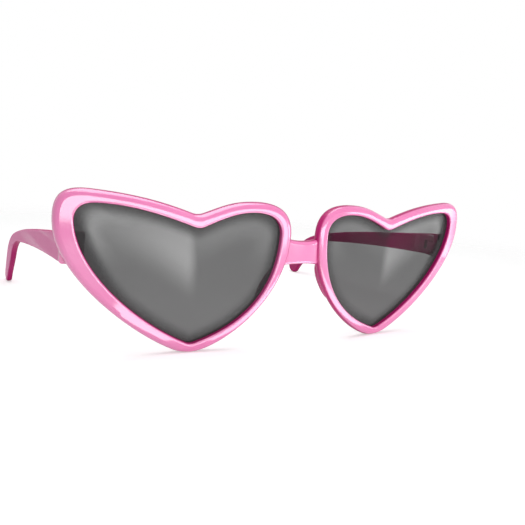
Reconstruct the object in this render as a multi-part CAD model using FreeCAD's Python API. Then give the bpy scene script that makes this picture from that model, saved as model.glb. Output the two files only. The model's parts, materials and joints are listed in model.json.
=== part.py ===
import FreeCAD, Part
import math
import os
from FreeCAD import Vector

# Heart shaped sunglasses, opened out and standing on the two heart tips and the two ear hooks.
# Every piece is drawn in millimetres with the front upright: X to the wearer's left, Y to the back
# from the foremost point of the front, Z up from the lower end of the hearts. stand() then sets the
# finished pieces on the floor. Left and right are the wearer's.

# Front moulding: a spherical shell that carries both rims, the bridge, the nose pads and the hinge lugs
BASE_RADIUS = 320.0          # radius of the front surface, a nearly flat base curve
BASE_HEIGHT = 24.0           # height of the sphere's centre
RIM_DEPTH = 3.3              # front to back
RIM_OUTER_ROUND = 1.9        # rounding of the outer front edge
RIM_INNER_ROUND = 0.6        # rounding of the front edge round the aperture
RIM_BACK_ROUND = 1.1         # rounding of the outer back edge
LIP_ROUND = 0.3              # rounding of the back edge round the aperture

# Heart outlines as smooth nodes: distance from the middle, height, heading in degrees, and the
# lengths of the curve's handles before and after the node. They run from the notch over the nasal
# lobe, down to the tip and back over the temporal lobe. A corner has two headings and a rounding.
APERTURE = (
    ("corner", 33.9, 37.4, 199.0, 155.0, 1.6, 9.0, 5.2),     # notch
    ("node", 17.4, 42.6, 180.0, 5.6, 6.0),                   # top of the nasal lobe
    ("node", 8.3, 36.0, 270.0, 4.2, 18.2),                   # nasal side
    ("corner", 33.9, 3.1, 341.0, 24.0, 1.2, 14.4, 12.8),     # tip
    ("node", 66.8, 37.4, 83.0, 15.0, 4.2),                   # temporal side
    ("node", 61.4, 43.3, 180.0, 3.5, 9.2),                   # top of the temporal lobe
)
RIM_OUTLINE = (
    ("corner", 34.2, 41.1, 199.0, 159.0, 1.6, 8.3, 6.0),
    ("node", 16.6, 45.6, 180.0, 7.5, 8.0),
    ("node", 4.6, 35.6, 270.0, 6.8, 17.4),
    ("corner", 34.5, -0.4, 342.0, 24.0, 4.6, 11.0, 13.0),
    ("node", 71.7, 36.3, 84.5, 13.8, 8.0),
    ("node", 63.1, 46.8, 183.0, 7.0, 11.4),
)
CORNER_FULLNESS = 0.6        # handle of a rounded corner, as a share of its rounding

# Lenses, snapped into a groove round each aperture
LENS_DEPTH = 1.8             # front surface of the rim to the front surface of the lens
LENS_THICKNESS = 1.0
GROOVE_DEPTH = 0.8           # how far the lens reaches under the lip of the rim
LENS_CLEARANCE = 0.05

# Bridge, a small pillow between the rims
BRIDGE_TOP = 35.0
BRIDGE_BOTTOM = 26.5
BRIDGE_HALF_WIDTH = 6.0      # to where its ends are buried in the rims
BRIDGE_TOP_SAG = 0.9
BRIDGE_BOTTOM_ARCH = 0.6
BRIDGE_FRONT = 0.5           # depth of its front and back behind the front surface of the rims
BRIDGE_BACK = 2.9
PILLOW_RADIUS = 20.0         # its front bulges from side to side
PILLOW_ROUND = 1.1           # rounding of its front edges
BRIDGE_BACK_ROUND = 0.3

# Nose pads, moulded on the back of the nasal rims: long rounded swellings along the rim
PAD_UPPER = (7.0, 26.6)      # ends of the pad in the front view
PAD_LOWER = (13.6, 14.4)
PAD_HALF_WIDTH = 1.8
PAD_DEPTH = 2.2              # behind the back of the rim

# Hinges: one tongue on the front between the two ears of each temple, on an upright screw
HINGE_X = 65.4
KNUCKLE_RADIUS = 1.9
KNUCKLE_GAP = 0.3            # between a round knuckle and the wall that it turns past
HINGE_BOTTOM = 26.4
EAR_HEIGHT = 1.9
TONGUE_HEIGHT = 3.0
EAR_GAP = 0.15               # between the tongue and each ear
LUG_LENGTH = 0.6             # of the front's lug behind the rim, at its outer face
LUG_ROOT = 0.6               # how far the lug runs into the rim
BUTT_GAP = 0.15              # between the lug and the end of the open temple
SCREW_RADIUS = 0.7
SCREW_CLEARANCE = 0.05       # in the tongue, which turns on the screw
EAR_CLEARANCE = 0.02         # in the ears, which grip the screw
SCREW_HEAD_RADIUS = 1.15
SCREW_HEAD_HEIGHT = 0.8
SCREW_SLOT_WIDTH = 0.35
SCREW_SLOT_DEPTH = 0.4
NUT_ACROSS_FLATS = 2.5
NUT_HEIGHT = 0.9
SEAT_CLEARANCE = 0.05        # round the screw head and the nut

# Temples: a tapering arm with an ear hook, drawn from the side and from above
TEMPLE_TOP = 34.8            # at the hinge end
TEMPLE_BOTTOM = 26.2
TEMPLE_OUTER_X = 69.6        # outer face at the hinge end
TEMPLE_THICKNESS = 3.0       # at the hinge end
TIP_THICKNESS = 2.0          # at the ear hook
TIP_OUTER_X = 69.0           # outer face at the end of the ear hook
TIP_TOE_IN = 1.5             # inward heading of the ear hook, in degrees
TEMPLE_ROUND = 0.7
BEND_BACK = (86.6, 19.5)     # top edge where the ear hook begins to bend
BEND_FRONT = (86.0, 15.7)    # bottom edge there
HOOK_BACK = (110.5, 9.0)     # rear edge where the bend ends
HOOK_FRONT = (100.8, 6.8)    # front edge there
TIP_BACK = (118.0, -2.2)     # rear edge at the end of the hook
TIP_FRONT = (111.2, -5.0)    # front edge there
TOP_SLOPE = -11.5            # headings of the edges in the side view: top edge at the hinge end
BOTTOM_SLOPE = -5.75         # bottom edge at the hinge end
BEND_BACK_SLOPE = -15.0      # the two edges where the bend begins
BEND_FRONT_SLOPE = -11.0
HOOK_BACK_SLOPE = -43.0      # the two edges where the bend ends
HOOK_FRONT_SLOPE = -55.0
TIP_SLOPE = -57.0            # both edges at the end of the hook
TIP_FULLNESS = 0.6           # handle of the hook's round end, as a share of its width
FORK_LENGTH = 5.0            # full-width block behind the hinge axis
FORK_RAMP = 6.0              # over which the block runs out into the inner face
FORK_TOP_DEPTH = 0.3         # of the block under the top edge of the arm

REACH = 60.0                 # deeper than the front is curved, for prisms that are cut to size
HUGE = 400.0                 # longer than any piece
NEAR = 0.02                  # for finding edges by where they lie
MESH_FINENESS = 0.02         # for finding the lowest and outermost points
SPHERE_CENTRE = Vector(0, BASE_RADIUS, BASE_HEIGHT)


def back_of_rim(x, z):
    """Y of the back surface of the rims at a point of the front view."""
    return BASE_RADIUS - math.sqrt((BASE_RADIUS - RIM_DEPTH) ** 2 - x ** 2 - (z - BASE_HEIGHT) ** 2)


# Back face of the lug, on which the open temple stops, and what follows from it
LUG_BACK = back_of_rim(TEMPLE_OUTER_X, (TEMPLE_TOP + TEMPLE_BOTTOM) / 2) + LUG_LENGTH
HINGE_Y = LUG_BACK + KNUCKLE_GAP + KNUCKLE_RADIUS
TONGUE_BOTTOM = HINGE_BOTTOM + EAR_HEIGHT + EAR_GAP
TONGUE_TOP = TONGUE_BOTTOM + TONGUE_HEIGHT
UPPER_EAR_BOTTOM = TONGUE_TOP + EAR_GAP
HINGE_TOP = UPPER_EAR_BOTTOM + EAR_HEIGHT
LUG_INNER_X = HINGE_X - KNUCKLE_RADIUS
BUTT_Y = LUG_BACK + BUTT_GAP


def heading(degrees):
    """Unit vector in a drawing's plane."""
    return (math.cos(math.radians(degrees)), math.sin(math.radians(degrees)))


def along(point, degrees, distance):
    """The point that lies a distance away along a heading."""
    direction = heading(degrees)
    return (point[0] + direction[0] * distance, point[1] + direction[1] * distance)


def smooth_nodes(outline):
    """Turns each corner of an outline into the two smooth nodes of its rounding."""
    nodes = []
    for kind, u, w, *rest in outline:
        if kind == "node":
            angle, before, after = rest
            nodes.append(((u, w), angle, before, after))
        else:
            arrive, leave, rounding, before, after = rest
            fullness = rounding * CORNER_FULLNESS
            nodes.append((along((u, w), arrive, -rounding), arrive, before, fullness))
            nodes.append((along((u, w), leave, rounding), leave, fullness, after))
    return nodes


def grown(nodes, distance):
    """The nodes moved outwards by a distance, with handles stretched as their spans are."""
    moved = [(along(p, a - 90, distance), a, b, c) for p, a, b, c in nodes]
    count = len(nodes)

    def stretch(i):
        old = math.dist(nodes[i][0], nodes[(i + 1) % count][0])
        return math.dist(moved[i][0], moved[(i + 1) % count][0]) / old

    return [(p, a, b * stretch(i - 1), c * stretch(i)) for i, (p, a, b, c) in enumerate(moved)]


def bezier(points, place):
    """Edge of one Bezier curve through a drawing's pole points."""
    curve = Part.BezierCurve()
    curve.setPoles([place(p) for p in points])
    return curve.toShape()


def span(first, second, place):
    """Curve from one smooth node to the next."""
    start, start_angle, _, after = first
    end, end_angle, before, _ = second
    poles = (start, along(start, start_angle, after), along(end, end_angle, -before), end)
    return bezier(poles, place)


def front_point(p):
    """A point of the front view."""
    return Vector(p[0], 0, p[1])


def side_point(p):
    """A point of the side view."""
    return Vector(0, p[0], p[1])


def plan_point(p):
    """A point of the view from above."""
    return Vector(p[0], p[1], 0)


def heart_prism(nodes):
    """Closed heart outline run from front to back."""
    edges = [span(nodes[i - 1], nodes[i], front_point) for i in range(len(nodes))]
    return Part.Face(Part.Wire(Part.__sortEdges__(edges))).extrude(Vector(0, REACH, 0))


def sphere(depth):
    """Ball whose surface lies a given depth behind the front surface."""
    return Part.makeSphere(BASE_RADIUS - depth, SPHERE_CENTRE)


def shell(prism, front_depth, back_depth):
    """The part of a prism between two depths behind the front surface."""
    return prism.common(sphere(front_depth)).cut(sphere(back_depth))


def at_depth(shape, depth):
    """Edges that lie on the surface at a given depth."""
    radius = BASE_RADIUS - depth

    def on_surface(edge):
        points = edge.discretize(5)
        return all(abs(p.distanceToPoint(SPHERE_CENTRE) - radius) < NEAR for p in points)

    return [edge for edge in shape.Edges if on_surface(edge)]


def middle_of(edge):
    """Point halfway along an edge."""
    return edge.discretize(3)[1]


def mirrored(shape):
    """The same piece on the wearer's right."""
    return shape.mirror(Vector(0, 0, 0), Vector(1, 0, 0))


def upright(radius, bottom, top):
    """Round bar on the hinge axis."""
    return Part.makeCylinder(radius, top - bottom, Vector(HINGE_X, HINGE_Y, bottom))


def box(low, high):
    """Block between two corners."""
    size = [b - a for a, b in zip(low, high)]
    return Part.makeBox(*size, Vector(*low))


def make_rim():
    """Heart shaped ring, rounded more on its outside than round the aperture."""
    aperture = smooth_nodes(APERTURE)
    ring = heart_prism(smooth_nodes(RIM_OUTLINE)).cut(heart_prism(aperture))
    rim = shell(ring, 0, RIM_DEPTH)
    inside = heart_prism(grown(aperture, GROOVE_DEPTH))
    for depth, inner_round, outer_round in (
        (0, RIM_INNER_ROUND, RIM_OUTER_ROUND),
        (RIM_DEPTH, LIP_ROUND, RIM_BACK_ROUND),
    ):
        outer = [e for e in at_depth(rim, depth) if not inside.isInside(middle_of(e), NEAR, True)]
        rim = rim.makeFillet(outer_round, outer)
        inner = [e for e in at_depth(rim, depth) if inside.isInside(middle_of(e), NEAR, True)]
        rim = rim.makeFillet(inner_round, inner)
    return rim


def make_lens():
    """Heart shaped lens, larger than its aperture by the depth of the groove."""
    nodes = grown(smooth_nodes(APERTURE), GROOVE_DEPTH)
    return shell(heart_prism(nodes), LENS_DEPTH, LENS_DEPTH + LENS_THICKNESS)


def make_groove():
    """Room for a lens, with its clearance."""
    nodes = grown(smooth_nodes(APERTURE), GROOVE_DEPTH + LENS_CLEARANCE)
    front = LENS_DEPTH - LENS_CLEARANCE
    return shell(heart_prism(nodes), front, front + LENS_THICKNESS + 2 * LENS_CLEARANCE)


def make_bridge():
    """Short bar between the rims, dipped on top and arched below."""
    half = BRIDGE_HALF_WIDTH
    top = (Vector(half, 0, BRIDGE_TOP), Vector(0, 0, BRIDGE_TOP - BRIDGE_TOP_SAG), Vector(-half, 0, BRIDGE_TOP))
    bottom = (
        Vector(-half, 0, BRIDGE_BOTTOM),
        Vector(0, 0, BRIDGE_BOTTOM + BRIDGE_BOTTOM_ARCH),
        Vector(half, 0, BRIDGE_BOTTOM),
    )
    edges = [
        Part.Arc(*top).toShape(),
        Part.makeLine(top[2], bottom[0]),
        Part.Arc(*bottom).toShape(),
        Part.makeLine(bottom[2], top[0]),
    ]
    prism = Part.Face(Part.Wire(edges)).extrude(Vector(0, REACH, 0))
    bar = shell(prism, 0, BRIDGE_BACK)
    bulge = Part.makeCylinder(PILLOW_RADIUS, HUGE, Vector(0, BRIDGE_FRONT + PILLOW_RADIUS, 0))
    bar = bar.common(bulge)
    middle = (BRIDGE_FRONT + BRIDGE_BACK) / 2
    long_edges = [e for e in bar.Edges if e.BoundBox.XLength > half]
    bar = bar.makeFillet(PILLOW_ROUND, [e for e in long_edges if middle_of(e).y < middle])
    return bar.makeFillet(BRIDGE_BACK_ROUND, [e for e in at_depth(bar, BRIDGE_BACK) if e.BoundBox.XLength > half])


def make_nose_pad():
    """Half of an egg shape on the back of the nasal rim."""
    along_x, along_z = [(b - a) / 2 for a, b in zip(PAD_UPPER, PAD_LOWER)]
    half_length = math.hypot(along_x, along_z)
    stretch = FreeCAD.Matrix()
    stretch.scale(PAD_HALF_WIDTH, PAD_DEPTH, half_length)
    egg = Part.makeSphere(1).transformGeometry(stretch)
    lean = math.degrees(math.atan2(along_x, along_z)) - 180
    egg = egg.rotated(Vector(0, 0, 0), Vector(0, 1, 0), lean)
    middle = front_point((PAD_UPPER[0] + along_x, PAD_UPPER[1] + along_z))
    middle.y = back_of_rim(middle.x, middle.z)
    return egg.translated(middle).common(sphere(LENS_DEPTH + LENS_THICKNESS))


def make_lug():
    """Block behind the temporal rim with the hinge tongue on its inner side."""
    block = box((LUG_INNER_X, 0, TEMPLE_BOTTOM), (TEMPLE_OUTER_X, LUG_BACK, TEMPLE_TOP))
    block = block.common(sphere(RIM_DEPTH - LUG_ROOT))
    outer_face = TEMPLE_OUTER_X - NEAR
    level_edges = [e for e in block.Edges if e.BoundBox.XMin > outer_face and e.BoundBox.ZLength < NEAR]
    block = block.makeFillet(TEMPLE_ROUND, level_edges)
    shank = box(
        (LUG_INNER_X, LUG_BACK - KNUCKLE_RADIUS, TONGUE_BOTTOM),
        (HINGE_X + KNUCKLE_RADIUS, HINGE_Y, TONGUE_TOP),
    )
    tongue = shank.fuse(upright(KNUCKLE_RADIUS, TONGUE_BOTTOM, TONGUE_TOP))
    bore = upright(SCREW_RADIUS + SCREW_CLEARANCE, TONGUE_BOTTOM, TONGUE_TOP)
    return block.fuse(tongue.cut(bore)).removeSplitter()


def make_front():
    """The whole front moulding."""
    side = make_rim().fuse([make_nose_pad(), make_lug()]).cut(make_groove())
    return side.fuse([mirrored(side), make_bridge()]).removeSplitter()


def side_prism():
    """Side view of the temple run across it."""
    top_start = (BUTT_Y, TEMPLE_TOP)
    bottom_start = (BUTT_Y, TEMPLE_BOTTOM)
    stations = [
        (top_start, TOP_SLOPE),
        (BEND_BACK, BEND_BACK_SLOPE),
        (HOOK_BACK, HOOK_BACK_SLOPE),
        (TIP_BACK, TIP_SLOPE),
        (TIP_FRONT, TIP_SLOPE + 180),
        (HOOK_FRONT, HOOK_FRONT_SLOPE + 180),
        (BEND_FRONT, BEND_FRONT_SLOPE + 180),
        (bottom_start, BOTTOM_SLOPE + 180),
    ]
    edges = []
    for (start, leave), (end, arrive) in zip(stations, stations[1:]):
        share = TIP_FULLNESS if start == TIP_BACK else 1 / 3
        handle = math.dist(start, end) * share
        edges.append(bezier((start, along(start, leave, handle), along(end, arrive, -handle), end), side_point))
    edges.append(Part.makeLine(side_point(bottom_start), side_point(top_start)))
    return Part.Face(Part.Wire(edges)).extrude(Vector(HUGE, 0, 0))


def plan_prism():
    """View of the temple from above run from floor to top."""
    end_y = TIP_BACK[0] + TIP_THICKNESS
    length = end_y - BUTT_Y
    reach = length / 3
    toe = reach * math.tan(math.radians(TIP_TOE_IN))
    outer = [
        (TEMPLE_OUTER_X, BUTT_Y),
        (TEMPLE_OUTER_X, BUTT_Y + reach),
        (TIP_OUTER_X + toe, end_y - reach),
        (TIP_OUTER_X, end_y),
    ]
    thinning = [TEMPLE_THICKNESS + (TIP_THICKNESS - TEMPLE_THICKNESS) * i / 3 for i in range(4)]
    inner = [(x - t, y) for (x, y), t in zip(outer, thinning)]
    edges = [
        bezier(outer, plan_point),
        Part.makeLine(plan_point(outer[3]), plan_point(inner[3])),
        bezier(inner, plan_point),
        Part.makeLine(plan_point(inner[0]), plan_point(outer[0])),
    ]
    face = Part.Face(Part.Wire(Part.__sortEdges__(edges)))
    return face.translated(Vector(0, 0, -HUGE / 2)).extrude(Vector(0, 0, HUGE))


def make_arm():
    """Tapering arm with its ear hook, rounded along its edges."""
    arm = side_prism().common(plan_prism())
    long_edges = [e for e in arm.Edges if e.BoundBox.YMax > BUTT_Y + NEAR]
    return arm.makeFillet(TEMPLE_ROUND, long_edges)


def make_fork():
    """Block on the inner face of the temple whose two ears hold the tongue."""
    inner_face = TEMPLE_OUTER_X - TEMPLE_THICKNESS / 2
    ramp_start = HINGE_Y + FORK_LENGTH
    corners = [
        (LUG_INNER_X, HINGE_Y),
        (inner_face, HINGE_Y),
        (inner_face, ramp_start + FORK_RAMP),
        (TEMPLE_OUTER_X - TEMPLE_THICKNESS, ramp_start + FORK_RAMP),
        (LUG_INNER_X, ramp_start),
    ]
    outline = Part.makePolygon([plan_point(p) for p in corners + corners[:1]])
    block = Part.Face(outline).translated(Vector(0, 0, HINGE_BOTTOM))
    block = block.extrude(Vector(0, 0, HINGE_TOP - HINGE_BOTTOM))
    block = block.fuse(upright(KNUCKLE_RADIUS, HINGE_BOTTOM, HINGE_TOP))
    return block.common(side_prism().translated(Vector(0, 0, -FORK_TOP_DEPTH)))


def make_screw():
    """Slotted hinge screw, head uppermost and flush with the upper ear."""
    head = upright(SCREW_HEAD_RADIUS, HINGE_TOP - SCREW_HEAD_HEIGHT, HINGE_TOP)
    slot = box(
        (HINGE_X - HUGE / 2, HINGE_Y - SCREW_SLOT_WIDTH / 2, HINGE_TOP - SCREW_SLOT_DEPTH),
        (HINGE_X + HUGE / 2, HINGE_Y + SCREW_SLOT_WIDTH / 2, HINGE_TOP),
    )
    shank = upright(SCREW_RADIUS, HINGE_BOTTOM, HINGE_TOP - SCREW_HEAD_HEIGHT)
    return head.cut(slot).fuse(shank).removeSplitter()


def hexagon(across_flats, bottom, top):
    """Hexagonal bar on the hinge axis."""
    reach = across_flats / math.sqrt(3)
    corners = [along((HINGE_X, HINGE_Y), 60 * i, reach) for i in range(7)]
    outline = Part.makePolygon([plan_point(p) for p in corners])
    return Part.Face(outline).translated(Vector(0, 0, bottom)).extrude(Vector(0, 0, top - bottom))


def make_nut():
    """Hexagonal nut, held in the underside of the lower ear."""
    bar = hexagon(NUT_ACROSS_FLATS, HINGE_BOTTOM, HINGE_BOTTOM + NUT_HEIGHT)
    return bar.cut(upright(SCREW_RADIUS + EAR_CLEARANCE, HINGE_BOTTOM, HINGE_TOP))


def make_temple():
    """Arm and fork in one moulding, with the slot for the tongue and the seats of screw and nut."""
    temple = make_arm().fuse(make_fork())
    wall = KNUCKLE_RADIUS + KNUCKLE_GAP
    slot = box(
        (0, 0, TONGUE_BOTTOM - EAR_GAP),
        (HINGE_X + wall, HINGE_Y + wall, UPPER_EAR_BOTTOM),
    )
    head_seat = upright(
        SCREW_HEAD_RADIUS + SEAT_CLEARANCE, HINGE_TOP - SCREW_HEAD_HEIGHT, HINGE_TOP
    )
    nut_seat = hexagon(NUT_ACROSS_FLATS + 2 * SEAT_CLEARANCE, HINGE_BOTTOM, HINGE_BOTTOM + NUT_HEIGHT)
    bore = upright(SCREW_RADIUS + EAR_CLEARANCE, HINGE_BOTTOM, HINGE_TOP)
    return temple.cut([slot, head_seat, nut_seat, bore]).removeSplitter()


def tipped(shape, degrees):
    """The shape turned about the X axis."""
    return shape.rotated(Vector(0, 0, 0), Vector(1, 0, 0), degrees)


def surface_points(shapes):
    """Points of a fine mesh of the shapes."""
    return [p for shape in shapes for p in shape.tessellate(MESH_FINENESS)[0]]


def stand(pieces):
    """Tips the pieces until heart tips and ear hooks touch the floor, then centres them on it."""
    tilt = 0.0
    for _ in range(4):
        tip = min(surface_points([tipped(pieces["front_frame"], tilt)]), key=lambda p: p.z)
        hook = min(surface_points([tipped(pieces["temple_left"], tilt)]), key=lambda p: p.z)
        tilt += math.degrees(math.atan2(tip.z - hook.z, hook.y - tip.y))
    turned = {name: tipped(shape, tilt) for name, shape in pieces.items()}
    points = surface_points(turned.values())
    depths = [p.y for p in points]
    shift = Vector(0, -(min(depths) + max(depths)) / 2, -min(p.z for p in points))
    turn = FreeCAD.Rotation(Vector(1, 0, 0), tilt)
    print("left hinge", turn.multVec(Vector(HINGE_X, HINGE_Y, HINGE_BOTTOM)) + shift)
    print("hinge axis", turn.multVec(Vector(0, 0, 1)), "tilt", tilt, "shift", shift)
    return {name: shape.translated(shift) for name, shape in turned.items()}


def main():
    left = {
        "lens": make_lens(),
        "temple": make_temple(),
        "hinge_screw": make_screw(),
        "hinge_nut": make_nut(),
    }
    pieces = {"front_frame": make_front()}
    for name, shape in left.items():
        pieces[name + "_left"] = shape
        pieces[name + "_right"] = mirrored(shape)
    os.makedirs("parts", exist_ok=True)
    for name, shape in stand(pieces).items():
        shape.exportStep("parts/" + name + ".step")


main()
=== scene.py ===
import json
import math

import bpy
import numpy as np
from mathutils import Matrix, Vector


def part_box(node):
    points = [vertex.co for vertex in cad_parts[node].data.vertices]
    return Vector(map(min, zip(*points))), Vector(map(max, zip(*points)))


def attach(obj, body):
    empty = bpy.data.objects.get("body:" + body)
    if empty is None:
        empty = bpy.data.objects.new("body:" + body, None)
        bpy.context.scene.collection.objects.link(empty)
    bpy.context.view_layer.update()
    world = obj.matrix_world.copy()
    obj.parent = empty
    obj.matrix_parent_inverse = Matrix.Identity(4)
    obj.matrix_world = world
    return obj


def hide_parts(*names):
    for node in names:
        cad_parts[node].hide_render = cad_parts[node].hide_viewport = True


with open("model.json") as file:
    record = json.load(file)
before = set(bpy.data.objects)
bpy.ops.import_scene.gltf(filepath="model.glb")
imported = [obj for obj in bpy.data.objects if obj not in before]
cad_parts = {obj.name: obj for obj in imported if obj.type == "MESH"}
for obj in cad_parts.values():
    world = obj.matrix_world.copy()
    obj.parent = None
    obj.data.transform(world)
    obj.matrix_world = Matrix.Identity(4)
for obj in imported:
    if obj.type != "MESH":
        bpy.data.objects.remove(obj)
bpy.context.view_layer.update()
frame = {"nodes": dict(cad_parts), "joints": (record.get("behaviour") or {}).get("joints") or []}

# Front: both heart rims, the bridge, the nose pads and the hinge lugs in one injection moulding of
# pink plastic with a thick gloss lacquer. The faces towards the front are pale pink, and painted shade
# deepens the colour to magenta on the walls, most of all on walls towards the middle, and on the back.


class Tone:
    """One output of a shader node. Its operators add Math nodes, and node() adds any other node.
    A tone without a socket only stands for its tree, so that the first node can be added there."""

    def __init__(self, tree, socket=None):
        self.tree = tree
        self.socket = socket

    def node(self, kind, settings, inputs, output=0):
        """Adds a node, applies its settings, plugs in its inputs, and gives one of its outputs."""
        made = self.tree.nodes.new(kind)
        for name, value in settings.items():
            setattr(made, name, value)
        for name, value in inputs.items():
            plug(made.inputs[name], value)
        return Tone(self.tree, made.outputs[output])

    def sibling(self, output):
        """Another output of the node that gives this tone."""
        return Tone(self.tree, self.socket.node.outputs[output])

    def math(self, operation, *others):
        """A Math node on this tone and on further tones or numbers."""
        operands = dict(enumerate((self, *others)))
        return self.node("ShaderNodeMath", {"operation": operation}, operands)

    def __add__(self, other):
        return self.math("ADD", other)

    __radd__ = __add__

    def __sub__(self, other):
        return self.math("SUBTRACT", other)

    def __rsub__(self, other):
        return self.math("MULTIPLY_ADD", -1.0, other)

    def __mul__(self, other):
        return self.math("MULTIPLY", other)

    __rmul__ = __mul__

    def between(self, low, high):
        """0 below low and 1 above high, with a smooth step from one to the other."""
        settings = {"interpolation_type": "SMOOTHSTEP"}
        inputs = {"Value": self, "From Min": low, "From Max": high}
        return self.node("ShaderNodeMapRange", settings, inputs)

    def blend(self, colour_a, colour_b):
        """Colour a where this tone is 0 and colour b where it is 1. A Mix node takes its colours in
        sockets 6 and 7, and gives the blend in output 2."""
        inputs = {0: self, 6: colour_a, 7: colour_b}
        return self.node("ShaderNodeMix", {"data_type": "RGBA"}, inputs, 2)

    def noise(self, scale, detail=2.0):
        """Cloudy noise from 0 to 1 over this place, with about scale clouds to a metre."""
        inputs = {"Vector": self, "Scale": scale, "Detail": detail}
        return self.node("ShaderNodeTexNoise", {}, inputs)

    def spread(self, low, high):
        """Low where this tone is 0, high where it is 1, and evenly between them."""
        return self * (high - low) + low

    def axis(self, letter):
        """This vector's X, Y or Z."""
        return self.node("ShaderNodeSeparateXYZ", {}, {"Vector": self}, letter)


def plug(socket, value):
    """Links a tone to an input socket, or sets a plain value on it."""
    if isinstance(value, Tone):
        value.tree.links.new(value.socket, socket)
    else:
        socket.default_value = value


def new_finish(name):
    """A material, its Principled shader, and the place on the piece as a tone."""
    material = bpy.data.materials.new(name)
    material.use_nodes = True
    tree = material.node_tree
    place = Tone(tree).node("ShaderNodeTexCoord", {}, {}, "Object")
    return material, tree.nodes["Principled BSDF"], place


def feed(shader, **inputs):
    """Plugs tones and plain values into a shader's sockets, whose names have _ for a space."""
    for name, value in inputs.items():
        plug(shader.inputs[name.replace("_", " ")], value)


def wear(*names, material):
    """Gives CAD pieces a material in place of their plain one."""
    for name in names:
        worn = frame["nodes"][name].data.materials
        worn.clear()
        worn.append(material)


# The two paler pinks are the plastic's own colour, and the two darker magentas are painted shade.
PALE_PINK = (0.8, 0.15, 0.42, 1)
BLOOM_PINK = (0.96, 0.45, 0.7, 1)
BLOOM_SHARE = 0.16
SHADE_PINK = (0.42, 0.005, 0.13, 1)
WARM_SHADE_PINK = (0.52, 0.01, 0.17, 1)
SCUFF_ROUGHNESS = 0.1


def lacquered_pink(shader, place, lit_share, roughness):
    """Plastic under lacquer, pale where the third argument is 1, and deep magenta, a painted shade,
    where it is 0. Wide clouds vary both pinks, fine scuffs add to the roughness, and a slight peel
    ripples the surface."""
    cloud = place.noise(scale=60.0).between(0.35, 0.8)
    pale = (cloud * BLOOM_SHARE).blend(PALE_PINK, BLOOM_PINK)
    deep = cloud.blend(SHADE_PINK, WARM_SHADE_PINK)
    scuffs = place.noise(scale=1400.0, detail=3.0)
    peel = place.noise(scale=220.0)
    ripple = {"Height": peel, "Strength": 0.03, "Distance": 0.0004}
    feed(
        shader,
        Base_Color=lit_share.blend(deep, pale),
        Roughness=scuffs.spread(roughness, roughness + SCUFF_ROUGHNESS),
        Normal=place.node("ShaderNodeBump", {}, ripple),
        IOR=1.3,
        Coat_Roughness=0.1,
        Coat_IOR=1.9,
    )


def outward(place):
    """The normal's X times the sign of the place's X, which is 1 on faces that look away from the
    middle of the sunglasses, and -1 on faces that look towards it."""
    return place.sibling("Normal").axis("X") * place.axis("X").math("SIGN")


OUTWARD_SHARE = 0.45

front_pink, shader, place = new_finish("front_pink")
# Painted shade: faces that turn away from the front go deep magenta, and those towards the middle go
# soonest.
towards_front = outward(place) * OUTWARD_SHARE - place.sibling("Normal").axis("Y")
lit_share = towards_front.between(0.3, 0.65)
lacquered_pink(shader, place, lit_share, roughness=0.3)
feed(shader, Coat_Weight=lit_share.spread(0.1, 1.0))
wear("front_frame", material=front_pink)

# Lenses: grey smoked polycarbonate, puffed a little towards the front and snapped into the grooves of
# the rims. The smoke is dense along the edge, a painted shade, and thin under the upper edge and in a
# wedge beside the line from notch to tip, which are painted highlights. All lengths in this section
# are in mm.

# Smooth nodes of the heart: distance from the middle, height, heading in degrees, handles either side
HEART_NODES = np.array((
    (35.41, 37.92, 199.0, 9.0, 0.96),
    (32.45, 38.08, 155.0, 0.96, 5.2),
    (17.4, 42.6, 180.0, 5.6, 6.0),
    (8.3, 36.0, 270.0, 4.2, 18.2),
    (32.77, 3.49, 341.0, 14.4, 0.72),
    (35.0, 3.59, 24.0, 0.72, 12.8),
    (66.8, 37.4, 83.0, 15.0, 4.2),
    (61.4, 43.3, 180.0, 3.5, 9.2),
))
GROOVE_DEPTH = 0.8
BASE_CURVE_RADIUS = 320.0
BASE_CURVE_HEIGHT = 24.0
LENS_DEPTH = 1.8
LENS_THICKNESS = 1.0
PUFF = 0.9
APEX = np.array((34.2, 18.5))
STEPS_PER_SPAN = 24
RINGS = 36
SMALLEST_RING = 0.01
MM_PER_METRE = 1000

# Light that passes the whole lens in the painted shade at its edge, and what is added inside the edge
# and in the painted highlights
EDGE_CLEAR = 0.025
INSIDE_CLEAR = 0.12
PAINTED_HIGHLIGHT_CLEAR = 0.18


def heart_outline(grow):
    """Closed run of cubic curves from node to node, after every node is moved out by grow."""
    angle = np.radians(HEART_NODES[:, 2])
    heading = np.stack((np.cos(angle), np.sin(angle)), 1)
    away = np.stack((heading[:, 1], -heading[:, 0]), 1)
    start = HEART_NODES[:, :2] + away * grow
    leave = start + heading * HEART_NODES[:, 4:5]
    arrive = np.roll(start - heading * HEART_NODES[:, 3:4], -1, 0)
    end = np.roll(start, -1, 0)
    start, leave, arrive, end = (p[:, None, :] for p in (start, leave, arrive, end))
    t = (np.arange(STEPS_PER_SPAN) / STEPS_PER_SPAN)[None, :, None]
    first_half = start * (1 - t) ** 3 + leave * 3 * t * (1 - t) ** 2
    second_half = arrive * 3 * t ** 2 * (1 - t) + end * t ** 3
    return (first_half + second_half).reshape(-1, 2)


def smooth_step(start, end, value):
    """0 before start, 1 past end, and a cubic between them. Start may be the higher of the two."""
    t = np.clip((value - start) / (end - start), 0, 1)
    return t * t * (3 - 2 * t)


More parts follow.
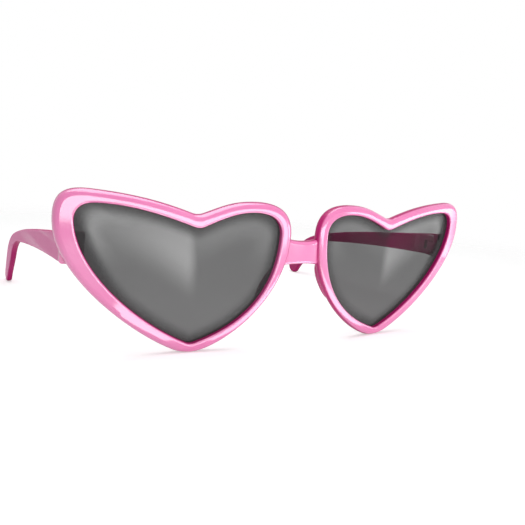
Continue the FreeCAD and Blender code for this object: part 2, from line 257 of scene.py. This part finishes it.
def smoke_and_painted_light(u, w, gap):
    """Opacity of one face of the lens: 1 less the root of the light that passes both faces. A gap is
    a distance from the rim. Little light passes in a dark band along the edge, a painted shade, which is
    wider beside the hinge. Most passes in a wedge past the line from notch to tip, over a curved slant
    and fading outwards, and in an arch inside the upper edge, which brightens outwards: both are painted
    highlights."""
    across, up = u - APEX[0], w - APEX[1]
    beside_hinge = smooth_step(52, 62, u) * smooth_step(42, 37, w)
    band_start = -0.3 + 2 * beside_hinge
    band_end = 4.2 + 1.3 * beside_hinge
    inside = smooth_step(band_start, band_end, gap)
    past_line = smooth_step(-1.5, 2.5, across)
    slant = 0.85 * across - 0.013 * across ** 2
    over_slant = smooth_step(-4.0, 9.0, up - slant)
    fading = 1 - 0.5 * smooth_step(0, 30, across)
    wedge = past_line * over_slant * fading
    upper_edge = smooth_step(6, 20, up) * smooth_step(14, 4, gap)
    brightening = np.clip(0.42 + 0.016 * across, 0.42, 0.9)
    arch = upper_edge * brightening
    # Painted shade along the edge, and painted highlights in the wedge and the arch.
    clear = EDGE_CLEAR + inside * (INSIDE_CLEAR + PAINTED_HIGHLIGHT_CLEAR * np.maximum(wedge, arch))
    return 1 - np.sqrt(clear)


def leaned(u, depth, w):
    """Points in metres from mm across, behind and up the front, turned about X as the hinges lean."""
    lean, upright = (abs(part) for part in frame["joints"][0]["axis"][1:])
    y = upright * depth - lean * w
    z = lean * depth + upright * w
    return np.stack((u, y, z), -1).reshape(-1, 3) / MM_PER_METRE


def left_lens():
    """Points and smoke, with its painted shade and highlights, on rings of the heart shrunk towards its
    apex, from the apex over the front to the edge and back behind. Their depth is that of the base
    curve, a sphere, less a puff that is full at the apex and nothing at the edge. Without its puff the
    lens is centred in the solid one's box."""
    growing = np.linspace(SMALLEST_RING, 1, RINGS)
    share = np.concatenate((growing, growing[::-1]))[:, None]
    layer = np.repeat((LENS_DEPTH, LENS_DEPTH + LENS_THICKNESS), RINGS)[:, None]
    outline = heart_outline(GROOVE_DEPTH)
    along = np.roll(outline, -1, 0) - np.roll(outline, 1, 0)
    away = np.stack((along[:, 1], -along[:, 0]), 1) / np.linalg.norm(along, axis=1, keepdims=True)
    gap = (1 - share) * ((outline - APEX) * away).sum(1) - GROOVE_DEPTH
    u, w = np.moveaxis(APEX + (outline - APEX) * share[..., None], -1, 0)
    off_centre = u ** 2 + (w - BASE_CURVE_HEIGHT) ** 2
    depth = BASE_CURVE_RADIUS - np.sqrt((BASE_CURVE_RADIUS - layer) ** 2 - off_centre)
    plain = leaned(u, depth, w)
    puffed = leaned(u, depth - PUFF * (1 - share ** 2), w)
    low, high = (np.array(corner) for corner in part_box("lens_left"))
    seat = (low + high - plain.min(0) - plain.max(0)) / 2
    return puffed + seat, smoke_and_painted_light(u, w, gap).ravel()


def shell_faces(rings, around):
    """Quads from each ring of points to the next, and a cap on the first ring and on the last."""
    ring, step = np.meshgrid(np.arange(rings - 1), np.arange(around), indexing="ij")
    here = ring * around + step
    beside = ring * around + (step + 1) % around
    quads = np.stack((here, beside, beside + around, here + around), -1).reshape(-1, 4)
    first_cap = np.arange(around)[::-1]
    last_cap = np.arange(around) + (rings - 1) * around
    return quads.tolist() + [first_cap.tolist(), last_cap.tolist()]


def new_object(name, data):
    """An object in the scene with a mesh, lamp or camera as its data."""
    made = bpy.data.objects.new(name, data)
    bpy.context.scene.collection.objects.link(made)
    return made


THIN_GREY = (0.008, 0.008, 0.009, 1)
DENSE_GREY = (0.055, 0.055, 0.056, 1)
SMEAR_HAZE = 0.15

smoked, shader, place = new_finish("smoked_grey")
smear = place.noise(scale=35.0)
# The smoke attribute holds the real grey tint with painted shade along the edge and painted highlights
# inside it, and the haze follows it.
density = place.node("ShaderNodeAttribute", {"attribute_name": "smoke_and_painted_light"}, {}, "Fac")
haze = smear * SMEAR_HAZE + density.between(0.58, 0.87)
feed(
    shader,
    Base_Color=haze.blend(THIN_GREY, DENSE_GREY),
    Roughness=smear.spread(0.12, 0.18),
    Alpha=density,
    IOR=1.58,
    Specular_IOR_Level=0.025,
)
points, opacity = left_lens()
faces = shell_faces(2 * RINGS, len(points) // (2 * RINGS))
for side, name in ((1, "left"), (-1, "right")):
    mesh = bpy.data.meshes.new("smoked_lens_" + name)
    facing_out = [face[::-side] for face in faces]
    mesh.from_pydata((points * (side, 1, 1)).tolist(), [], facing_out)
    mesh.shade_smooth()
    mesh.attributes.new("smoke_and_painted_light", "FLOAT", "POINT").data.foreach_set("value", opacity)
    mesh.materials.append(smoked)
    lens = new_object("smoked_lens_" + name, mesh)
    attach(lens, "front")
    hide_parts("lens_" + name)

# Temples: moulded arms of the same lacquered plastic, tall at the hinge and thin at the ear hook. Their
# outer faces are pale but toned down by painted shade, and streaked by the lacquer up to the bend, and
# painted shade makes their edges, inner faces and hinge forks magenta.

# How pale the outer faces of the arms are; the rest of the way to magenta is painted shade.
SHADED_ARM_PALENESS = 0.8
STREAK_STRETCH = (1, 0.02, 1)

arm_pink, shader, place = new_finish("arm_pink")
# Painted shade: only the outer faces are pale, and even they are toned part way to magenta.
lit_share = outward(place).between(0.55, 0.98) * SHADED_ARM_PALENESS
lacquered_pink(shader, place, lit_share, roughness=0.45)
along_arm = place.node("ShaderNodeMapping", {}, {"Vector": place, "Scale": STREAK_STRETCH})
before_bend = 1 - place.axis("Y").between(-0.01, 0.025)
streaks = along_arm.noise(scale=330.0).between(0.42, 0.66) * before_bend
feed(shader, Coat_Weight=lit_share * streaks.spread(0.1, 0.6))
wear("temple_left", "temple_right", material=arm_pink)

# Hinge screws: turned steel, with a slotted head seated flush in the upper ear of each temple's fork.
# The shank passes ear, tongue and ear. The ears grip it, and it turns in the tongue of the front.

DARK_STEEL = (0.5, 0.5, 0.52, 1)
BRIGHT_STEEL = (0.72, 0.72, 0.74, 1)

steel, shader, place = new_finish("turned_steel")
tool_marks = place.noise(scale=3000.0)
feed(
    shader,
    Base_Color=tool_marks.blend(DARK_STEEL, BRIGHT_STEEL),
    Metallic=1.0,
    Roughness=tool_marks.spread(0.22, 0.42),
)
wear("hinge_screw_left", "hinge_screw_right", material=steel)

# Hinge nuts: small hexagons machined from brass, held in pockets under the lower ears, round the ends
# of the screws.

DULL_BRASS = (0.62, 0.43, 0.16, 1)
BRIGHT_BRASS = (0.82, 0.62, 0.3, 1)

brass, shader, place = new_finish("machined_brass")
tarnish = place.noise(scale=1500.0)
feed(
    shader,
    Base_Color=tarnish.blend(DULL_BRASS, BRIGHT_BRASS),
    Metallic=1.0,
    Roughness=tarnish.spread(0.25, 0.45),
)
wear("hinge_nut_left", "hinge_nut_right", material=brass)

# Studio: a sheet of white paper that keeps the shadow and fades into the white surround. A large soft
# lamp hangs above, low strip lamps stand in front and at the wearer's left, and a panel of light on the
# paper before the hearts shows only as gloss on the lower rims.

PAPER_HALF = 0.5
FADE_START = 0.14
FADE_END = 0.4
PAPER_GREY = (0.8, 0.8, 0.8, 1)
BLACK = (0, 0, 0, 1)
WHITE = (1, 1, 1, 1)
SKY_LIGHT = 0.33


def seen_rays(tree):
    """1 for rays from the camera, off gloss and through glass, and 0 for light on matt surfaces."""
    direct = Tone(tree).node("ShaderNodeLightPath", {}, {}, "Is Camera Ray")
    mirrored = direct.math("MAXIMUM", direct.sibling("Is Glossy Ray"))
    return mirrored.math("MAXIMUM", direct.sibling("Is Transmission Ray"))


corners = np.array(((-1, -1, 0), (1, -1, 0), (1, 1, 0), (-1, 1, 0))) * PAPER_HALF
paper_mesh = bpy.data.meshes.new("paper")
paper_mesh.from_pydata(corners.tolist(), [], [(0, 1, 2, 3)])
paper = new_object("paper", paper_mesh)

white_paper, shader, place = new_finish("white_paper")
reach = place.node("ShaderNodeVectorMath", {"operation": "LENGTH"}, {0: place}, "Value")
feed(
    shader,
    Base_Color=PAPER_GREY,
    Roughness=0.9,
    Specular_IOR_Level=0.0,
    Emission_Color=seen_rays(white_paper.node_tree).blend(BLACK, WHITE),
    Emission_Strength=0.45,
    Alpha=1 - reach.between(FADE_START, FADE_END),
)
paper_mesh.materials.append(white_paper)

world = bpy.data.worlds.new("studio")
bpy.context.scene.world = world
world.use_nodes = True
sky_strength = seen_rays(world.node_tree).spread(SKY_LIGHT, 1.0)
feed(world.node_tree.nodes["Background"], Color=WHITE, Strength=sky_strength)


def soft_lamp(name, position, target, size, watts, lean=0.0):
    """A rectangular lamp at a position, turned towards a target and leaned by some degrees."""
    light = bpy.data.lights.new(name, "AREA")
    light.shape = "RECTANGLE"
    light.size, light.size_y = size
    light.energy = watts
    away = Vector(position) - Vector(target)
    turn = away.to_track_quat("Z", "Y").to_matrix().to_4x4()
    roll = Matrix.Rotation(math.radians(lean), 4, "Z")
    lamp = new_object(name, light)
    lamp.matrix_world = Matrix.Translation(position) @ turn @ roll
    lamp.visible_camera = False
    return lamp


soft_lamp("overhead", position=(-0.03, -0.05, 0.45), target=(0, -0.03, 0.03), size=(0.4, 0.4), watts=1.4)
soft_lamp(
    "front",
    position=(-0.015, -0.205, 0.026),
    target=(-0.02, -0.05, 0.03),
    size=(0.22, 0.048),
    watts=0.14,
    lean=-7,
)
soft_lamp(
    "side",
    position=(0.152, -0.137, 0.024),
    target=(0.035, -0.05, 0.03),
    size=(0.105, 0.042),
    watts=0.06,
)
panel = soft_lamp(
    "panel",
    position=(-0.011, -0.0745, 0.001),
    target=(-0.011, -0.0745, 0.1),
    size=(0.094, 0.027),
    watts=0.028,
)
panel.visible_diffuse = False

# Camera: at the photograph's viewpoint, found by fitting the outlines of the hearts and arms. Its
# shift brings the sunglasses to their place in the frame.

VIEW_TARGET = Vector((0, -0.060247, 0.030657))
VIEW_DISTANCE = 0.195864
AZIMUTH, ELEVATION, ROLL = (math.radians(a) for a in (-32.419, 8.104, 4.521))

optics = bpy.data.cameras.new("camera")
optics.sensor_width = 36.0
optics.lens = 43.807
optics.shift_x = -0.0813
optics.shift_y = -0.0223
optics.clip_start = 0.005
level = Vector((math.cos(AZIMUTH), math.sin(AZIMUTH), 0))
along_floor = Vector((math.sin(AZIMUTH), -math.cos(AZIMUTH), 0))
back = along_floor * math.cos(ELEVATION) + Vector((0, 0, math.sin(ELEVATION)))
turn = Matrix((level, back.cross(level), back)).transposed().to_4x4()
camera = new_object("camera", optics)
camera.matrix_world = (
    Matrix.Translation(VIEW_TARGET + back * VIEW_DISTANCE) @ turn @ Matrix.Rotation(ROLL, 4, "Z")
)
bpy.context.scene.camera = camera
bpy.context.scene.view_settings.view_transform = "Standard"
